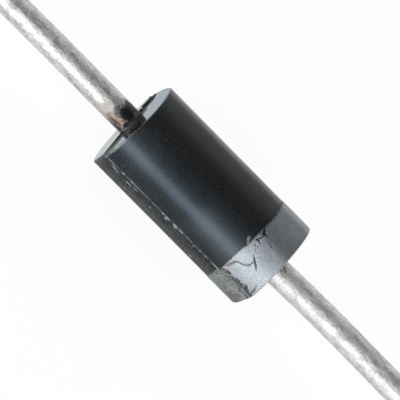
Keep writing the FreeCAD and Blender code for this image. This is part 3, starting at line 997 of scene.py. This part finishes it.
def plainMaterial(name, colour, roughness, metal, mottleScale, mottle=0.15):
    made, shader, place = newMaterial(name)
    cloud = noiseIn(place, mottleScale, 4.0, 0.6)
    darker = tuple(channel * (1 - mottle) for channel in colour)
    connect(shader, colour=mixColour(cloud, colour, darker), metal=metal,
            rough=ramp(cloud, 0.3, 0.7, roughness - 0.05, roughness + 0.05),
            normal=bumpOn(cloud, 0.002))
    return made


def dressInnerPieces():
    solder = plainMaterial("solder", grey(0.55, 0.01), 0.35, 1.0, 12.0)
    finishes = {
        "silicon_die": plainMaterial("siliconChip", (0.12, 0.13, 0.16), 0.15, 0.6, 20.0, 0.05),
        "anode_solder": solder,
        "cathode_solder": solder,
        "junction_coating": plainMaterial("siliconeBead", (0.8, 0.8, 0.76), 0.25, 0.0, 4.0, 0.06),
    }
    for name, material in finishes.items():
        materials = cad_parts[name].data.materials
        materials.clear()
        materials.append(material)


# studio

studio = {
    "floorSize": 3.0,               # metres
    "floorColour": 0.12,
    "floorGlow": 0.915,
    "skyForDiffuse": 0.85,
    "keyRise": 11.5,                # degrees above the floor, in front of the diode
    "keyDistance": 0.40,
    "keyHeight": 0.155,
    "keyWidth": 1.0,
    "keyRadiance": 3.95,
    "archRadius": 0.32,             # vault of cards over the diode, open at the front
    "archHalfWidth": 0.6,
    # (degrees from the front, glow) of the vault: its dark crown is what the top of the diode mirrors
    "archGlow": [(36, 1.0), (48, 0.62), (62, 0.50), (74, 0.36), (84, 0.25), (110, 0.25), (127, 0.66),
                 (144, 0.88), (160, 0.78), (180, 0.56)],
}


def seenRays(tree):
    # 1 for what the camera sees, directly, mirrored or through glass
    path = tree.nodes.new("ShaderNodeLightPath").outputs
    either = calc("MAXIMUM", path["Is Camera Ray"], path["Is Glossy Ray"])
    return calc("MAXIMUM", either, path["Is Transmission Ray"])


def floorMaterial():
    made, tree = emptyMaterial("paleFloor")
    plain = addNode(tree, "ShaderNodeBsdfDiffuse", {"Color": grey(0.8)}).outputs[0]
    dim = addNode(tree, "ShaderNodeBsdfDiffuse", {"Color": grey(studio["floorColour"])}).outputs[0]
    glow = {"Color": grey(1.0), "Strength": studio["floorGlow"]}
    glow = addNode(tree, "ShaderNodeEmission", glow).outputs[0]
    seen = addNode(tree, "ShaderNodeAddShader", {0: dim, 1: glow}).outputs[0]
    mixed = addNode(tree, "ShaderNodeMixShader", {0: seenRays(tree), 1: plain, 2: seen}).outputs[0]
    addNode(tree, "ShaderNodeOutputMaterial", {0: mixed})
    return made


def buildFloor():
    half = studio["floorSize"] / 2
    corners = [(x * half, y * half, cadLow.z) for x, y in ((-1, -1), (1, -1), (1, 1), (-1, 1))]
    made = meshObject("floor", np.array(corners) / mm, [(0, 1, 2, 3)], smooth=False)
    made.data.materials.append(floorMaterial())


def buildArch():
    made, tree = emptyMaterial("vaultCards")
    x, y, z = axesOf(tree.nodes.new("ShaderNodeTexCoord").outputs["Object"])
    graded = addNode(tree, "ShaderNodeValToRGB", {0: calc("DIVIDE", turnOf(y, z), math.pi)})
    stops = graded.color_ramp.elements
    for index, (degrees, glow) in enumerate(studio["archGlow"]):
        stop = stops[index] if index < 2 else stops.new(degrees / 180)
        stop.position = degrees / 180
        stop.color = (*grey(glow), 1)
    glow = addNode(tree, "ShaderNodeEmission", {"Color": graded.outputs[0], "Strength": 1.0}).outputs[0]
    addNode(tree, "ShaderNodeOutputMaterial", {0: glow})
    points = []
    for degrees in evenSteps(studio["archGlow"][0][0], 180, 3):
        turn = math.radians(degrees)
        for side in (-1, 1):
            height = studio["archRadius"] * math.sin(turn) + cadLow.z
            points.append((side * studio["archHalfWidth"], -studio["archRadius"] * math.cos(turn), height))
    faces = [(i, i + 1, i + 3, i + 2) for i in range(0, len(points) - 2, 2)]
    arch = meshObject("vault", np.array(points) / mm, faces)
    arch.data.materials.append(made)
    arch.visible_camera = False


def buildStudio():
    buildFloor()
    world = bpy.data.worlds.new("studio")
    bpy.context.scene.world = world
    world.use_nodes = True
    tree = world.node_tree
    tree.nodes.clear()
    light = {"Color": grey(1.0), "Strength": studio["skyForDiffuse"]}
    light = addNode(tree, "ShaderNodeBackground", light).outputs[0]
    white = addNode(tree, "ShaderNodeBackground", {"Color": grey(1.0), "Strength": 1.0}).outputs[0]
    mixed = addNode(tree, "ShaderNodeMixShader", {0: seenRays(tree), 1: light, 2: white}).outputs[0]
    addNode(tree, "ShaderNodeOutputWorld", {0: mixed})
    buildArch()
    # key softbox
    rise = math.radians(studio["keyRise"])
    toKey = Vector((0, -math.cos(rise), math.sin(rise)))
    lamp = bpy.data.lights.new("frontSoftbox", "AREA")
    lamp.shape = "RECTANGLE"
    lamp.size = studio["keyWidth"]
    lamp.size_y = studio["keyHeight"]
    lamp.energy = studio["keyRadiance"] * math.pi * lamp.size * lamp.size_y
    key = bpy.data.objects.new("frontSoftbox", lamp)
    bpy.context.scene.collection.objects.link(key)
    key.location = toKey * studio["keyDistance"]
    key.rotation_mode = "QUATERNION"
    key.rotation_quaternion = toKey.to_track_quat("Z", "Y")
    key.visible_camera = False


photo = {
    "size": 400,                # pixels
    "bodyWidth": 106.3,         # pixels across the body's side
    "middle": (202.6, 195.8),   # where the body's middle is
    "distance": 130.0,          # from the diode to the lens
}


def buildCamera():
    toCamera = Vector((
        -math.sin(viewTilt),
        -math.cos(viewTilt) * math.cos(viewRise),
        math.cos(viewTilt) * math.sin(viewRise),
    ))
    alongLead = (Vector((1, 0, 0)) - toCamera * toCamera.x).normalized()
    acrossLead = toCamera.cross(alongLead)
    right = alongLead * math.cos(viewTurn) + acrossLead * math.sin(viewTurn)
    up = acrossLead * math.cos(viewTurn) - alongLead * math.sin(viewTurn)
    pixel = 2 * body["radius"] * mm / photo["bodyWidth"]
    lens = bpy.data.cameras.new("photoCamera")
    lens.sensor_width = 36.0
    lens.lens = lens.sensor_width * photo["distance"] * mm / (pixel * photo["size"])
    camera = bpy.data.objects.new("photoCamera", lens)
    bpy.context.scene.collection.objects.link(camera)
    aside = (photo["middle"][0] - photo["size"] / 2) * pixel
    above = (photo["size"] / 2 - photo["middle"][1]) * pixel
    place = toCamera * photo["distance"] * mm - right * aside - up * above
    axes = Matrix((right, up, toCamera)).transposed()
    camera.matrix_world = Matrix.Translation(place) @ axes.to_4x4()
    lens.clip_start = 0.001
    lens.clip_end = 10.0
    bpy.context.scene.camera = camera


buildCamera()
print("camera ready")

moulding = buildBody()
moulding.data.materials.append(epoxyMaterial())
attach(moulding, "root")
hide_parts("epoxy_body")
print("body ready:", len(moulding.data.polygons), "faces")

ink = buildBand()
ink.data.materials.append(inkMaterial())
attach(ink, "root")
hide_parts("cathode_band")
print("band ready:", len(ink.data.polygons), "faces")

wires = wireTree(tinMaterial())
for nodeName, direction, bowName in (("anode_lead", -1, "anode"), ("cathode_lead", 1, "cathode")):
    swept = buildLead(nodeName.replace("lead", "wire"), direction, bow[bowName], wires)
    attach(swept, "root")
    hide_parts(nodeName)
    print(nodeName, "ready:", len(swept.data.polygons), "faces")

dressInnerPieces()
print("inner pieces dressed")

buildStudio()
bpy.context.scene.view_settings.view_transform = "Standard"
print("studio ready")
